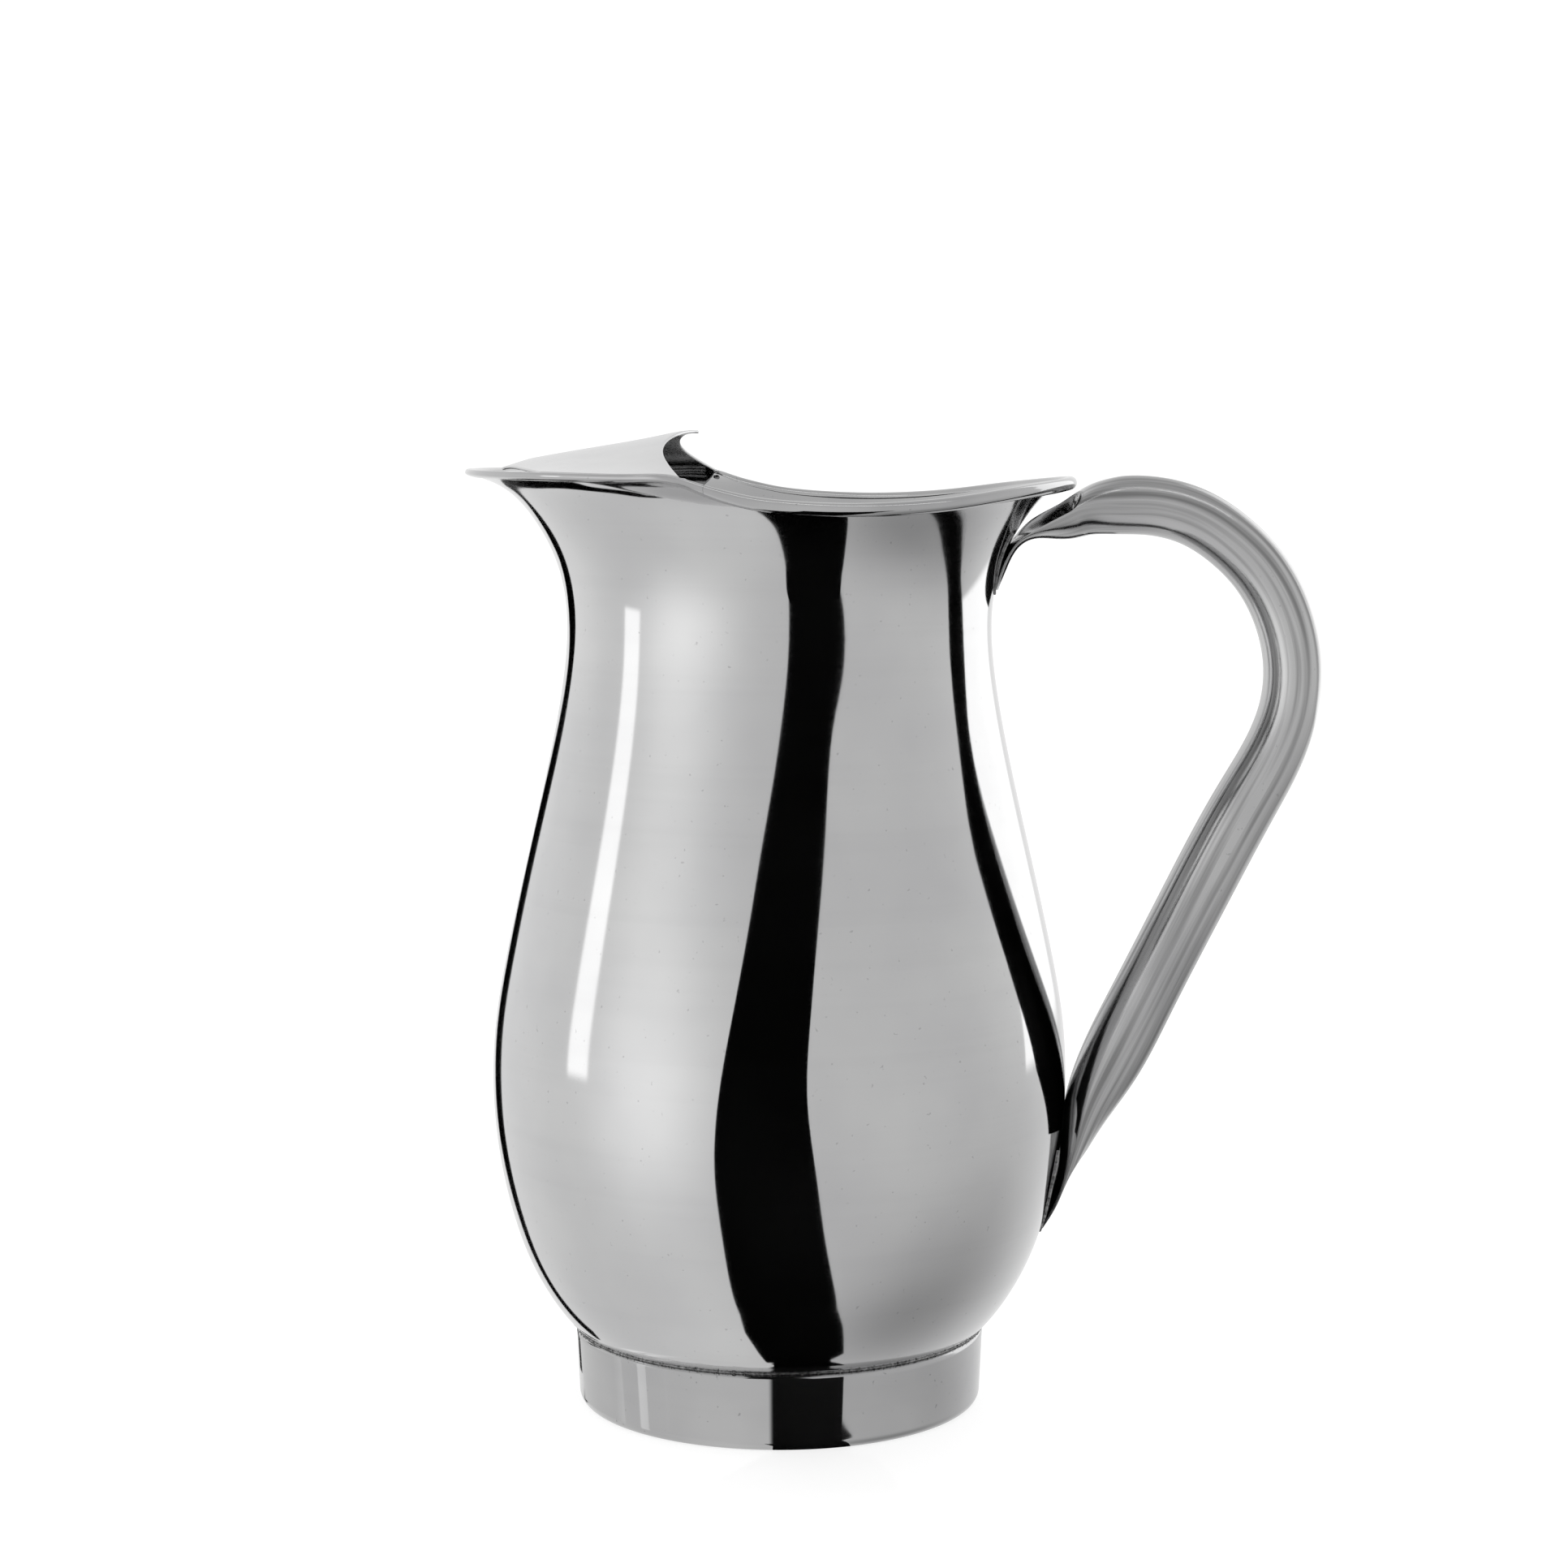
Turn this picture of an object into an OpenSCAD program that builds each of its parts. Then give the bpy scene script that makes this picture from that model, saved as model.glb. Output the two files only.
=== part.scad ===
// Bell-shaped metal water pitcher with an ice guard over the spout, a bent tube
// handle and a separate foot ring. Millimetres, +Z up. The origin is the centre
// of the circle that the pitcher stands on; -X is the spout, +X the handle.

/* [Body] */
// Radius of the belly, at its widest
belly_r = 67; // [65:0.5:68]
// Height of the widest point of the belly
belly_z = 77; // [72:0.5:80]
// Radius of the neck, at its narrowest
neck_r = 49; // [48:0.5:51]
// Height of the narrowest point of the neck
neck_z = 182; // [179:0.5:184]
// Radius that the flared mouth reaches
mouth_r = 73; // [72:0.5:74]
// Height that the flared mouth reaches
mouth_z = 217.8; // [217:0.1:219]
// Thickness of the body's sheet
wall = 0.8; // [0.6:0.1:1]

/* [Rim] */
// Radius of the wire rolled into the rim
wire_r = 1.5; // [1.3:0.1:1.6]
// Half of the thickness of the flattened hem round the spout
hem_half_thick = 0.75; // [0.6:0.05:0.9]
// Half of the width of the flattened hem
hem_half_wide = 1.5; // [1.3:0.1:1.8]

/* [Ice guard] */
// Height of the guard's crown above the rim
guard_rise = 9.6; // [7:0.1:11]
// How far forward of the crown the scallops of the back edge reach
scallop = 6.2; // [3:0.1:8]
// Thickness of the guard's sheet
guard_wall = 0.7; // [0.6:0.1:0.8]

/* [Handle] */
// Wall of the handle tube
tube_wall = 1; // [0.8:0.1:1.2]

/* [Foot] */
// Outer radius at the turned-in bottom edge
foot_r = 47.2; // [46.5:0.1:47.5]
// Outer radius where the foot meets the bowl
collar_r = 47.9; // [47.7:0.1:48.2]
// Height at which the foot's outside meets the bowl
collar_z = 18.2; // [18:0.1:18.4]
// Radius of the turned-in bottom edge
edge_r = 2.6; // [2:0.1:3.5]
// Inner radius of the turned-in flange that stands on the table
flange_r = 38; // [34:0.5:41]
// Thickness of the foot's sheet
foot_wall = 1.2; // [1:0.1:1.4]

/* [Hidden] */

turn_fn = 180;            // segments of the display mesh for turned shapes
seam_r = 47.4;            // where the bowl sits in the foot
seam_z = 17.8;
bottom_z = 8;             // outside of the bowl's bottom, clear of the table
spout_tip_x = -69.6;      // front of the body's cut edge
joint_x = -13;            // the rolled wire stops and the flat hem starts here
corner_x = -19;           // back corners of the guard
sliver = 0.02;            // gap left between faceted faces that would cross

// --- curves -----------------------------------------------------------------

function unit(v) = v / norm(v);
function lerp(a, b, t) = a + (b - a) * t;
function ease(t) = let (c = max(0, min(1, t))) c * c * (3 - 2 * c);

// Direction of a smooth curve through the points p at point i
function tangent(p, i) =
    i == 0 ? unit(p[1] - p[0]) :
    i == len(p) - 1 ? unit(p[i] - p[i - 1]) :
    let (back = norm(p[i] - p[i - 1]), ahead = norm(p[i + 1] - p[i]))
    ((p[i] - p[i - 1]) * ahead / back + (p[i + 1] - p[i]) * back / ahead) / (back + ahead);

// Point at fraction t between stations i and i + 1
function between(p, i, t) =
    let (span = norm(p[i + 1] - p[i]), t2 = t * t, t3 = t2 * t)
    p[i] * (2 * t3 - 3 * t2 + 1) + tangent(p, i) * span * (t3 - 2 * t2 + t)
    + p[i + 1] * (3 * t2 - 2 * t3) + tangent(p, i + 1) * span * (t3 - t2);

function smooth(p, steps) =
    [for (i = [0 : len(p) - 2], k = [0 : steps - 1]) between(p, i, k / steps), p[len(p) - 1]];

// A closed skin over rings that all have the same number of points
module skin(rings) {
    n = len(rings[0]);
    last = len(rings) - 1;
    sides = [for (i = [0 : last - 1], j = [0 : n - 1], half = [0, 1])
        let (a = i * n + j, b = i * n + (j + 1) % n)
        half == 0 ? [a, a + n, b] : [b, a + n, b + n]];
    first_cap = [for (j = [0 : n - 1]) j];
    last_cap = [for (j = [n - 1 : -1 : 0]) last * n + j];
    polyhedron(points = [for (ring = rings) each ring],
               faces = concat(sides, [first_cap], [last_cap]), convexity = 8);
}

// --- the body's outline, as [radius, height] ---------------------------------

// Each pair is [share of the way out, share of the way up] between two levels
bowl_shares = [[0.276, 0.106], [0.592, 0.291], [0.786, 0.479], [0.913, 0.667], [0.985, 0.86]];
bell_shares = [[0.956, 0.134], [0.822, 0.268], [0.611, 0.434],
               [0.395, 0.594], [0.189, 0.756], [0.05, 0.895]];
flare_shares = [[0.047, 0.313], [0.123, 0.473], [0.243, 0.632], [0.374, 0.761],
                [0.502, 0.858], [0.63, 0.92], [0.809, 0.966]];

function placed(shares, r0, z0, r1, z1) =
    [for (s = shares) [lerp(r0, r1, s[0]), lerp(z0, z1, s[1])]];

outline = concat(
    [[0, bottom_z], [24, bottom_z + 0.7], [38, bottom_z + 4.2], [seam_r, seam_z]],
    placed(bowl_shares, seam_r, seam_z, belly_r, belly_z),
    [[belly_r, belly_z]],
    [for (s = bell_shares) [lerp(neck_r, belly_r, s[0]), lerp(belly_z, neck_z, s[1])]],
    [[neck_r, neck_z]],
    placed(flare_shares, neck_r, neck_z, mouth_r, mouth_z),
    [[mouth_r, mouth_z]]);
outer = smooth(outline, 4);
inner = [for (i = [0 : len(outer) - 1])
    let (t = tangent(outer, i)) [max(0, outer[i][0] - wall * t[1]), outer[i][1] + wall * t[0]]];

// Radius of the outside at a height above the neck
flare = [for (p = outer) if (p[1] >= neck_z) [p[1], p[0]]];
function flare_r(z) = lookup(z, flare);

// Height at which the sheet is cut, along the pitcher: high at the spout, low
// at the sides and high again over the handle
cut_line = smooth([[-90, 217.4], [spout_tip_x, 216.8], [-45, 216.5], [-27, 216.3], [corner_x, 215.9],
                   [joint_x, 213.7], [-8, 212.4], [-2, 211.2], [6, 210.3], [17, 209.8],
                   [29, 210.1], [41, 211.3], [52, 213.1], [60, 214.35], [66, 215.4], [90, 220]], 4);
function cut_z(x) = lookup(x, cut_line);

// --- the cut edge, by its angle round the body: 0 at the handle, 180 at the spout

function edge_radius(a, tries = 16, r = 62) =
    tries == 0 ? r : edge_radius(a, tries - 1, flare_r(cut_z(r * cos(a))));

// [radius, height] of the edge, and the flare's direction there
function edge_at(a) = let (r = edge_radius(a)) [r, cut_z(r * cos(a))];
function flare_dir(a) =
    let (z = edge_at(a)[1]) unit([flare_r(z + 0.3) - flare_r(z - 0.3), 0.6]);

wire_end = 102;           // angle where the wire gives way to the hem
hem_full = 110;           // angle from which the hem is fully flat

// 0 where the rim is the round wire, 1 where it is the flat hem
function flatness(a) = ease((min(a, 360 - a) - wire_end) / (hem_full - wire_end));

// A ring of the rim: an oval past the cut edge; the wire hangs to the outside of it
rim_sides = 10;
wire_drop = 1;
function rim_ring(a) =
    let (e = edge_at(a), along = flare_dir(a), up = [-along[1], along[0]], f = flatness(a),
         wide = lerp(wire_r, hem_half_wide, f), thick = lerp(wire_r, hem_half_thick, f),
         reach = sqrt(wide * wide - pow((wire_drop - wall / 2) * (1 - f), 2)),
         mid = e + along * (reach + sliver) + up * (wall / 2 - wire_drop * (1 - f)))
    [for (k = [0 : rim_sides - 1])
        let (w = 360 * k / rim_sides, p = mid + along * (wide * cos(w)) + up * (thick * sin(w)))
        [p[0] * cos(a), p[0] * sin(a), p[1]]];

// --- parts -------------------------------------------------------------------

module body_shell() {
    color([0.78, 0.78, 0.79]) difference() {
        rotate_extrude($fn = turn_fn)
            polygon(concat(outer, [for (i = [len(inner) - 1 : -1 : 0]) inner[i]]));
        // everything above the cut line
        rotate([90, 0, 0]) linear_extrude(height = 4 * mouth_r, center = true)
            polygon(concat(cut_line, [[90, 250], [-90, 250]]));
    }
}

module rim_wire() {
    steps = 72;
    color([0.85, 0.85, 0.86])
        skin([for (i = [0 : steps]) rim_ring(lerp(-wire_end, wire_end, i / steps))]);
}

module lip_hem() {
    steps = 60;
    color([0.82, 0.82, 0.83])
        skin([for (i = [0 : steps]) rim_ring(lerp(wire_end + 0.05, 359.95 - wire_end, i / steps))]);
}

// Half of the guard's width at x, just inside the hem
guard_inset = 0.6;
function guard_half(x) =
    let (r = flare_r(cut_z(x)) + hem_half_wide - guard_inset) sqrt(max(1, r * r - x * x));
// Height of the hem's top, on which the guard is laid
function guard_base(x) = cut_z(x) + wall / 2 + hem_half_thick + 0.75;

guard_front_x = -64;
guard_shoulder_x = -50;   // where the guard's front edge runs out onto the hem
ridge_slope = 0.188;
front_slope = 0.35;
function guard_front(v) = lerp(guard_front_x, guard_shoulder_x, pow(abs(v), 2.2));
function guard_back(v) = corner_x + 0.5 - scallop * sin(180 * pow(abs(v), 0.8));
function guard_height(x) =
    min(guard_rise + ridge_slope * (x - corner_x), 0.1 + front_slope * (x - guard_front_x));
function guard_arch(v) = 0.5 * cos(90 * v) + 0.25 * (1 + cos(180 * v));

function guard_point(u, v, drop) =
    let (x = lerp(guard_front(v), guard_back(v), u))
    [x, guard_half(x) * v, guard_base(x) + guard_height(x) * guard_arch(v) - drop];

module ice_guard() {
    rows = 16;
    columns = 36;
    // each ring crosses the guard on top and comes back underneath
    function crossing(u) = concat(
        [for (j = [0 : columns]) guard_point(u, 2 * j / columns - 1, 0)],
        [for (j = [columns : -1 : 0]) guard_point(u, 2 * j / columns - 1, guard_wall)]);
    n = 2 * (columns + 1);
    rings = [for (i = [0 : rows]) crossing(i / rows)];
    sides = [for (i = [0 : rows - 1], j = [0 : n - 1], half = [0, 1])
        let (a = i * n + j, b = i * n + (j + 1) % n)
        half == 0 ? [a, a + n, b] : [b, a + n, b + n]];
    // the front and back edges are strips, because they aren't flat
    edges = [for (i = [0, rows], j = [0 : columns - 1], half = [0, 1])
        let (a = i * n + j, c = i * n + n - 1 - j,
             tri = half == 0 ? [a, a + 1, c] : [a + 1, c - 1, c])
        i == 0 ? tri : [tri[2], tri[1], tri[0]]];
    color([0.8, 0.8, 0.81])
        polyhedron(points = [for (ring = rings) each ring], faces = concat(sides, edges), convexity = 8);
}

// A drop of solder on the rim behind a back corner of the guard; side is 1 or -1
module corner_solder(side) {
    drop_r = 1.7;
    sunk = 0.7;           // how far the drop's centre is below the rim's top
    x = corner_x + 2.2;
    z = guard_base(x) - 0.6;
    color([0.7, 0.7, 0.71]) intersection() {
        translate([x, side * (guard_half(x) - 0.7), z - sunk]) sphere(r = drop_r, $fn = 32);
        translate([x - drop_r, side * guard_half(x) - 2 * drop_r, z])
            cube([2 * drop_r, 4 * drop_r, drop_r]);
    }
}
module guard_solder_left() { corner_solder(1); }
module guard_solder_right() { corner_solder(-1); }

// The handle's path in the plane of the pitcher: x, height, depth of the tube on
// its inner side, half of its width across, depth on its outer side. The ends are
// pressed flat; at the top the outer side is dished, so its depth is negative.
handle_line = [
    [49.8, 191, 0.8, 5, 0.8], [51.6, 196.5, 1.1, 9, 1.1], [53.8, 201.4, 1.3, 11.2, 0.9],
    [56.6, 205.2, 2.2, 11.9, -0.4], [60.2, 208.3, 4.8, 12, -2.6], [64.5, 210.2, 7.6, 11.2, -5.2],
    [68, 210.8, 7.8, 10, -4.4], [71, 210.8, 7.5, 9, 5], [77, 210.2, 6.7, 7.6, 6.7],
    [86, 210, 6.8, 7.3, 6.8], [95.5, 207.4, 6.8, 7.3, 6.8], [103.6, 202.2, 6.8, 7.3, 6.8],
    [110.6, 195, 6.8, 7.3, 6.8], [115.9, 185.2, 6.8, 7.3, 6.8], [118.4, 174, 6.8, 7.3, 6.8],
    [117.6, 163, 6.9, 7.3, 6.9], [113.8, 152.4, 7.2, 7.3, 7.2], [108.2, 142, 7.5, 7.4, 7.5],
    [96.8, 120, 7.6, 7.4, 7.6], [84.4, 95, 7.6, 7.5, 7.6], [77, 80, 7.3, 7.8, 7.3],
    [72.2, 70, 5.6, 9.2, 5.6], [69.2, 61.5, 3.4, 10.8, 3.4], [67, 54.6, 2, 11.2, 2],
    [64.8, 48, 1.5, 9, 1.5], [61.8, 41.6, 0.9, 4.5, 0.9]];
handle_steps = 3;
tube_sides = 20;
hollow_from = 8;          // the tube is open inside between these stations
hollow_to = 21;

// An oval across the path at point i, made smaller by inset and moved along
function tube_ring(path, i, inset, moved) =
    let (t = tangent([for (p = path) [p[0], p[1]]], i), p = path[i])
    [for (k = [0 : tube_sides - 1])
        let (w = 360 * k / tube_sides, depth = 2 * k < tube_sides ? p[4] : p[2],
             out = (depth - inset) * sin(w))
        [p[0] + t[0] * moved - t[1] * out, (p[3] - inset) * cos(w), p[1] + t[1] * moved + t[0] * out]];

// The tube between two stations; a negative inset makes it fatter and longer
module handle_sweep(first, last, inset) {
    path = smooth(handle_line, handle_steps);
    from = first * handle_steps;
    to = last * handle_steps;
    grown = max(0, -inset);
    skin([for (i = [from : to])
        tube_ring(path, i, inset, i == from ? -grown : i == to ? grown : 0)]);
}

// The body as a solid plug, a hair larger, to cut what is fitted against it
module body_plug(gap) {
    rotate_extrude($fn = turn_fn) polygon(concat(
        [for (p = outer) if (p[0] > 20) p + [gap, 0]], [[0, mouth_z], [0, bottom_z]]));
}

module handle_tube() {
    color([0.74, 0.74, 0.75]) difference() {
        handle_sweep(0, len(handle_line) - 1, 0);
        handle_sweep(hollow_from, hollow_to, tube_wall);
        body_plug(sliver);
    }
}

// Solder run round a pressed end of the handle, between the given stations
module end_solder(first, last) {
    run = 0.9;            // how far the solder shows past the tube
    difference() {
        intersection() {
            handle_sweep(first, last, -run);
            body_plug(run);
        }
        handle_sweep(0, len(handle_line) - 1, -sliver);
        body_plug(sliver);
    }
}
module handle_top_solder() { color([0.66, 0.66, 0.67]) end_solder(0, 3); }
module handle_bottom_solder() { color([0.66, 0.66, 0.67]) end_solder(22, 25); }

module foot_ring() {
    wall_in = foot_wall;
    arc_steps = 10;
    // outside: the turned-in edge, then up to the bowl
    outside = concat(
        [[flange_r, 0]],
        [for (k = [0 : arc_steps]) let (w = -90 + 90 * k / arc_steps)
            [foot_r - edge_r + edge_r * cos(w), edge_r + edge_r * sin(w)]],
        [[collar_r, collar_z]]);
    bend_r = edge_r - wall_in;
    inside = concat(
        [[collar_r - wall_in, collar_z - 1.9]],
        [for (k = [arc_steps : -1 : 0]) let (w = -90 + 90 * k / arc_steps)
            [foot_r - edge_r + bend_r * cos(w), edge_r + bend_r * sin(w)]],
        [[flange_r, wall_in]]);
    color([0.76, 0.76, 0.77]) difference() {
        rotate_extrude($fn = turn_fn) polygon(concat(outside, inside));
        body_plug(0);
    }
}

module foot_solder() {
    bead_r = 0.75;
    bead = [for (k = [0 : 11])
        [collar_r + 0.05 + bead_r * cos(30 * k), collar_z + 0.1 + bead_r * sin(30 * k)]];
    color([0.6, 0.6, 0.61]) difference() {
        rotate_extrude($fn = turn_fn) polygon(bead);
        body_plug(0);
        cylinder(h = collar_z, r1 = foot_r, r2 = collar_r, $fn = turn_fn);
    }
}

body_shell();
rim_wire();
lip_hem();
ice_guard();
guard_solder_left();
guard_solder_right();
handle_tube();
handle_top_solder();
handle_bottom_solder();
foot_ring();
foot_solder();
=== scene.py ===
import math

import bpy
import numpy as np
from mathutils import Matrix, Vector, noise


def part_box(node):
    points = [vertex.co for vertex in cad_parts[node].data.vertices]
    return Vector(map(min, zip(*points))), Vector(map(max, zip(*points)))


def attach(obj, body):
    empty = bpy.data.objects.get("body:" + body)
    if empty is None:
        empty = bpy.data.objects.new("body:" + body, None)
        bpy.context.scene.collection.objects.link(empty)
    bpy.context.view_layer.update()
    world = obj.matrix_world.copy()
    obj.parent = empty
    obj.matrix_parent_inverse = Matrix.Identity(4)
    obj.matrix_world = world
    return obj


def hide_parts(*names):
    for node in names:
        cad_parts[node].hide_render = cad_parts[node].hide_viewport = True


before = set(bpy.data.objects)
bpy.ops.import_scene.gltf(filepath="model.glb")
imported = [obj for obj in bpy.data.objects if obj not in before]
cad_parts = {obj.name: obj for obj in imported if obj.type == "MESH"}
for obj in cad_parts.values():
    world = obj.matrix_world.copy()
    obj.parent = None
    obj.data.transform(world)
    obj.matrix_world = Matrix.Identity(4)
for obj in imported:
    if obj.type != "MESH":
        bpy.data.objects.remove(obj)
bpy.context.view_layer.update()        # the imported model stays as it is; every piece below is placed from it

mm = 0.001


# Sockets and node graphs

class Wire:  # one output socket; sums and products of wires add Math nodes
    def __init__(self, graph, socket):
        self.graph, self.socket = graph, socket

    def __add__(self, other):
        return self.graph.math("ADD", self, other)

    def __radd__(self, other):
        return self.graph.math("ADD", other, self)

    def __sub__(self, other):
        return self.graph.math("SUBTRACT", self, other)

    def __rsub__(self, other):
        return self.graph.math("SUBTRACT", other, self)

    def __mul__(self, other):
        return self.graph.math("MULTIPLY", self, other)

    def __rmul__(self, other):
        return self.graph.math("MULTIPLY", other, self)

    def __pow__(self, other):
        return self.graph.math("POWER", self, other)


class Graph:  # builds a shader or a geometry tree
    def __init__(self, tree):
        self.tree = tree
        tree.nodes.clear()

    def add(self, kind, settings=None, sockets=None, out=0):
        node = self.tree.nodes.new(kind)
        for name, value in (settings or {}).items():
            if name == "stops":  # a ramp's places and grey levels
                ramp = node.color_ramp
                while len(ramp.elements) < len(value):
                    ramp.elements.new(0.5)
                for element, (place, level) in zip(ramp.elements, value):
                    element.position, element.color = place, (level, level, level, 1)
            else:
                setattr(node, name, value)
        for key, value in (sockets or {}).items():
            if isinstance(value, Wire):
                self.tree.links.new(value.socket, node.inputs[key])
            else:
                node.inputs[key].default_value = value
        return Wire(self, node.outputs[out]) if len(node.outputs) else None

    def math(self, operation, a, b):
        return self.add("ShaderNodeMath", {"operation": operation}, {0: a, 1: b})


# Curves, meshes and geometry trees

def smoothThrough(stations, count):  # a cubic spline with continuous curvature through the stations
    p = np.array(stations, float)
    s = np.concatenate([[0], np.cumsum(np.linalg.norm(np.diff(p[:, :2], axis=0), axis=1))])
    h = np.diff(s)
    n = len(p)
    a = np.zeros((n, n))
    b = np.zeros_like(p)
    a[0, 0] = a[-1, -1] = 1
    for i in range(1, n - 1):
        a[i, i - 1:i + 2] = h[i - 1], 2 * (h[i - 1] + h[i]), h[i]
        b[i] = 6 * ((p[i + 1] - p[i]) / h[i] - (p[i] - p[i - 1]) / h[i - 1])
    bend = np.linalg.solve(a, b)
    at = np.linspace(0, s[-1], count)
    i = np.clip(np.searchsorted(s, at, side="right") - 1, 0, n - 2)
    left, right = (s[i + 1] - at)[:, None], (at - s[i])[:, None]
    span = h[i][:, None]
    return (bend[i] * left ** 3 + bend[i + 1] * right ** 3) / (6 * span) \
        + (p[i] / span - bend[i] * span / 6) * left + (p[i + 1] / span - bend[i + 1] * span / 6) * right


def softened(line, width):  # evens out the curvature; width is the filter's sigma in samples
    reach = int(3 * width)
    weights = np.exp(-0.5 * (np.arange(-reach, reach + 1) / width) ** 2)
    weights = weights / weights.sum()
    padded = np.pad(line, ((reach, reach), (0, 0)), mode="reflect", reflect_type="odd")
    return np.stack([np.convolve(column, weights, "valid") for column in padded.T], 1)


def directions(line):
    t = np.gradient(line, axis=0)
    return t / np.linalg.norm(t, axis=1)[:, None]


def ease(t):
    t = np.clip(t, 0, 1)
    return t * t * (3 - 2 * t)


def meshOf(name, verts, faces, material):
    mesh = bpy.data.meshes.new(name)
    mesh.from_pydata([tuple(v) for v in verts], [], faces)
    mesh.materials.append(material)
    piece = bpy.data.objects.new(name, mesh)
    bpy.context.scene.collection.objects.link(piece)
    facingOut(piece)
    mesh.polygons.foreach_set("use_smooth", [True] * len(mesh.polygons))
    mesh.set_sharp_from_angle(angle=math.radians(50))
    return piece


def facingOut(piece):  # a closed mesh with a negative volume is inside out
    mesh = piece.data
    mesh.calc_loop_triangles()
    co = np.array([v.co for v in mesh.vertices])
    tri = np.array([t.vertices for t in mesh.loop_triangles])
    a, b, c = co[tri[:, 0]], co[tri[:, 1]], co[tri[:, 2]]
    if np.einsum("ij,ij->i", a, np.cross(b, c)).sum() < 0:
        mesh.flip_normals()


def ringFaces(rings, sides, closed=False):  # quads between rings of points, each ring a closed loop
    j = np.arange(sides)
    k = (j + 1) % sides
    faces = []
    for i in range(rings if closed else rings - 1):
        a, b = i * sides, (i + 1) % rings * sides
        faces += np.stack([a + j, b + j, b + k, a + k], 1).tolist()
    return faces


def sweptRings(name, rings, material, capped=True):
    rings = np.array(rings)
    count, sides = rings.shape[:2]
    middles = rings.mean(1)
    reach = np.concatenate([[0], np.cumsum(np.linalg.norm(np.diff(middles, axis=0), axis=1))])
    faces = ringFaces(count, sides, closed=not capped)
    verts = rings.reshape(-1, 3).tolist()
    if capped:
        for row, order in ((0, 1), (count - 1, -1)):
            verts.append(rings[row].mean(0).tolist())
            loop = [row * sides + j for j in range(sides)][::order]
            faces += [[loop[(j + 1) % sides], loop[j], len(verts) - 1] for j in range(sides)]
    piece = meshOf(name, verts, faces, material)
    grain = np.zeros((len(verts), 3))  # round the section and along it, for drawn lines
    w = np.linspace(0, 2 * np.pi, sides, endpoint=False)
    for i in range(count):
        along = np.full(sides, reach[i] / mm / 30)  # one unit is 30 mm
        grain[i * sides:(i + 1) * sides] = np.stack([np.cos(w), np.sin(w), along], 1)
    piece.data.attributes.new("grain", "FLOAT_VECTOR", "POINT").data.foreach_set("vector", grain.ravel())
    return piece


def polyline(name, points, closed=False):  # a mesh of edges, the input of the geometry trees
    mesh = bpy.data.meshes.new(name)
    last = len(points) if closed else len(points) - 1
    mesh.from_pydata([tuple(p) for p in points], [(i, (i + 1) % len(points)) for i in range(last)], [])
    piece = bpy.data.objects.new(name, mesh)
    bpy.context.scene.collection.objects.link(piece)
    return piece


def geometryTree(name, numbers):  # an empty tree with a geometry input and named numbers
    tree = bpy.data.node_groups.new(name, "GeometryNodeTree")
    face = tree.interface
    face.new_socket(name="Geometry", in_out="INPUT", socket_type="NodeSocketGeometry")
    face.new_socket(name="Geometry", in_out="OUTPUT", socket_type="NodeSocketGeometry")
    for label, kind in numbers.items():
        face.new_socket(name=label, in_out="INPUT", socket_type="NodeSocket" + kind)
    graph = Graph(tree)
    entry = tree.nodes.new("NodeGroupInput")
    return tree, graph, {s.name: Wire(graph, s) for s in entry.outputs if s.name}


def finishTree(graph, shape, material):
    real = graph.add("GeometryNodeRealizeInstances", None, {0: shape})
    smooth = graph.add("GeometryNodeSetShadeSmooth", None, {0: real})
    dressed = graph.add("GeometryNodeSetMaterial", None, {0: smooth, "Material": material})
    leaving = graph.tree.nodes.new("NodeGroupOutput")
    graph.tree.links.new(dressed.socket, leaving.inputs[0])


def grown(name, source, tree, values):  # runs a tree on source and keeps the plain mesh
    modifier = source.modifiers.new("grow", "NODES")
    modifier.node_group = tree
    for item in tree.interface.items_tree:
        if item.in_out == "INPUT" and item.name in values:
            modifier[item.identifier] = values[item.name]
    bpy.context.view_layer.update()
    depsgraph = bpy.context.evaluated_depsgraph_get()
    mesh = bpy.data.meshes.new_from_object(source.evaluated_get(depsgraph))
    source.modifiers.remove(modifier)
    bpy.data.objects.remove(source)
    mesh.name = name
    piece = bpy.data.objects.new(name, mesh)
    bpy.context.scene.collection.objects.link(piece)
    facingOut(piece)
    return piece


def latheTree(material):  # turns a closed outline in the XZ plane about Z
    tree, graph, given = geometryTree("lathe", {"Segments": "Int"})
    outline = graph.add("GeometryNodeMeshToCurve", None, {0: given["Geometry"]})
    flat = graph.add("GeometryNodeTransform", None, {0: outline, "Rotation": (math.pi / 2, 0, 0)})
    axis = graph.add("GeometryNodeCurvePrimitiveCircle", None,
                     {"Resolution": given["Segments"], "Radius": 1e-5})
    upright = graph.add("GeometryNodeSetCurveNormal", {"mode": "Z_UP"}, {0: axis})
    turned = graph.add("GeometryNodeCurveToMesh", None, {0: upright, 1: flat})
    finishTree(graph, turned, material)
    return tree


print("scene: tools ready")


# Camera and studio. The pitcher is turned a little, so studio directions are turned with it.

view = {"turn": 2.3, "distance": 789.1, "height": 228.9, "aside": 1.06, "tilt": 6.04, "lens": 78.26}


def studio(x, y, z):  # right, away from the camera, up (mm), as a point of the pitcher's frame
    a = math.radians(view["turn"])
    return Vector((x * math.cos(a) - y * math.sin(a), x * math.sin(a) + y * math.cos(a), z)) * mm


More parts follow.
